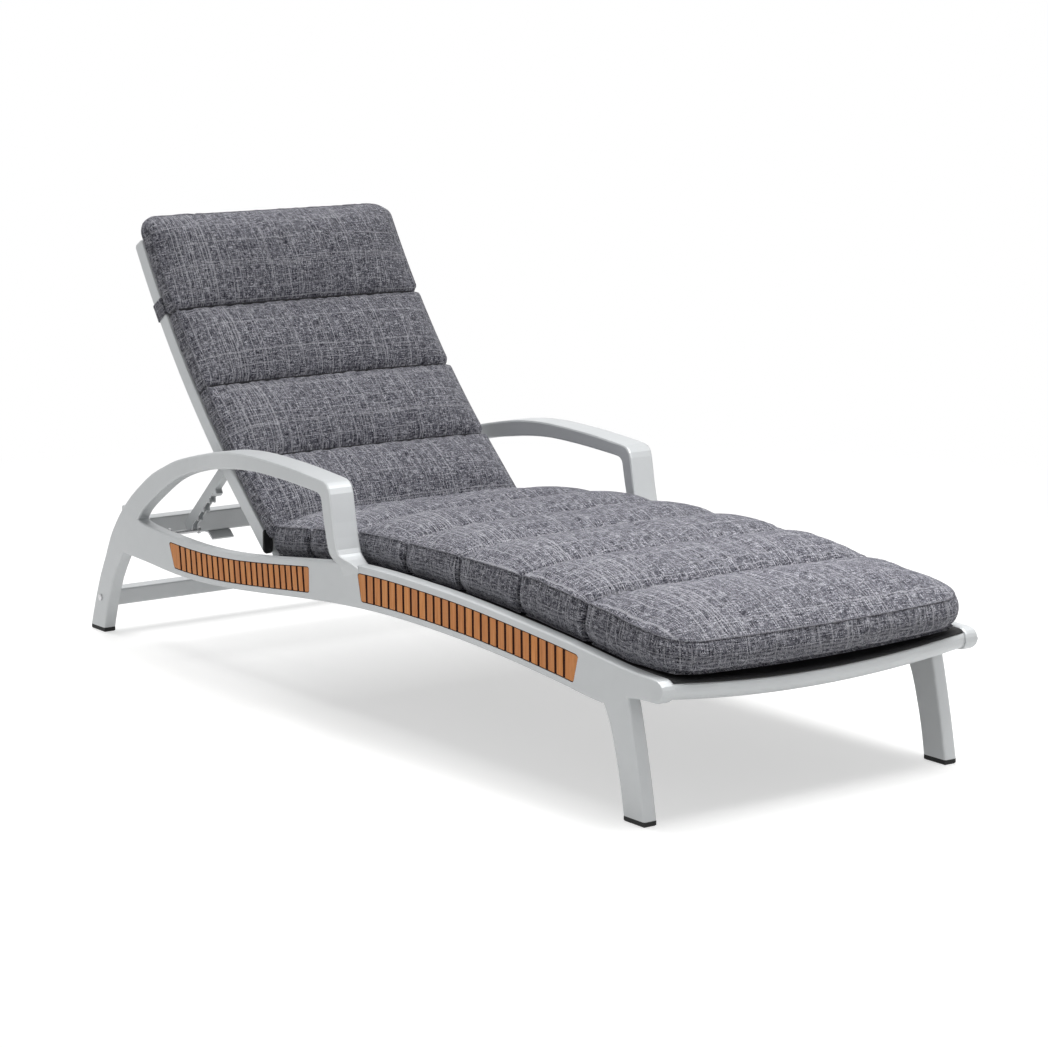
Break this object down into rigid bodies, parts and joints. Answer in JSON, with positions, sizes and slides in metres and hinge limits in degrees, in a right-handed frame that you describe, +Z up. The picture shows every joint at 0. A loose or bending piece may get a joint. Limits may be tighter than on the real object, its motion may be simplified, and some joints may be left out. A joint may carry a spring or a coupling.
{
  "type": "outdoor lounge chair",
  "caption": "Outdoor chaise longue: arched metal side frames with slatted timber inlays and arm loops, a sling seat and back with channelled cushions, and a reclining back on toothed props.",
  "frame": {"origin": "on the floor below the middle of the side frames, halfway between the two sides", "axes": "+Z up; -Y towards the foot end, +Y towards the head end; +X to the left of a person lying on it"},
  "size_m": [0.7998, 2.036, 0.9213],
  "materials": {
    "powder_coat": "satin silver-grey powder coat on aluminium",
    "stainless": "plain stainless steel fixings",
    "teak": "oiled teak slats with dark grooves",
    "rubber": "matt black rubber",
    "black_plastic": "matt black end caps",
    "black_sling": "black coated mesh cloth",
    "grey_cover": "woven grey melange cover with light and dark yarns"
  },
  "bodies": {
    "base": {"catch_pin_left": "stainless", "catch_pin_right": "stainless", "crossbar_stop_left": "powder_coat", "crossbar_stop_right": "powder_coat", "foot_pad_front_left": "rubber", "foot_pad_front_right": "rubber", "foot_pad_rear_left": "rubber", "foot_pad_rear_right": "rubber", "foot_tube": "powder_coat", "hinge_lug_left": "powder_coat", "hinge_lug_right": "powder_coat", "pivot_bolt_left": "stainless", "pivot_bolt_right": "stainless", "rear_crossbar": "powder_coat", "rear_stretcher": "powder_coat", "seat_cushion": "grey_cover", "seat_middle_bar": "powder_coat", "seat_rear_bar": "powder_coat", "seat_sling": "black_sling", "side_frame_left": "powder_coat", "side_frame_right": "powder_coat", "sling_track_left": "powder_coat", "sling_track_right": "powder_coat", "stretcher_bolt_left": "stainless", "stretcher_bolt_right": "stainless", "teak_inlay_front_left": "teak", "teak_inlay_front_right": "teak", "teak_inlay_rear_left": "teak", "teak_inlay_rear_right": "teak"},
    "back": {"back_cushion": "grey_cover", "back_lower_rail": "powder_coat", "back_middle_rail": "powder_coat", "back_sling": "black_sling", "back_tube_left": "powder_coat", "back_tube_right": "powder_coat", "back_upper_rail": "powder_coat", "cushion_strap_left": "grey_cover", "cushion_strap_right": "grey_cover", "strut_pin_left": "stainless", "strut_pin_right": "stainless", "tube_cap_lower_left": "black_plastic", "tube_cap_lower_right": "black_plastic", "tube_cap_upper_left": "powder_coat", "tube_cap_upper_right": "powder_coat"},
    "strut_right": {"prop_strut_right": "powder_coat"},
    "strut_left": {"prop_strut_left": "powder_coat"}
  },
  "joints": [
    {"name": "back_recline", "type": "hinge", "parent": "base", "child": "back", "pos_m": [0, 0.39397, 0.304], "axis": [-1, 0, 0], "range_deg": [0, 35]},
    {"name": "strut_swing_right", "type": "hinge", "parent": "back", "child": "strut_right", "pos_m": [-0.2788, 0.5399, 0.43854], "axis": [1, 0, 0], "range_deg": [0, 82.25]},
    {"name": "strut_swing_left", "type": "hinge", "parent": "back", "child": "strut_left", "pos_m": [0.2788, 0.5399, 0.43854], "axis": [1, 0, 0], "range_deg": [0, 82.25]}
  ],
  "couplings": [
    {"joint": "strut_swing_right", "follows": "back_recline", "ratio": 2.35},
    {"joint": "strut_swing_left", "follows": "back_recline", "ratio": 2.35}
  ]
}
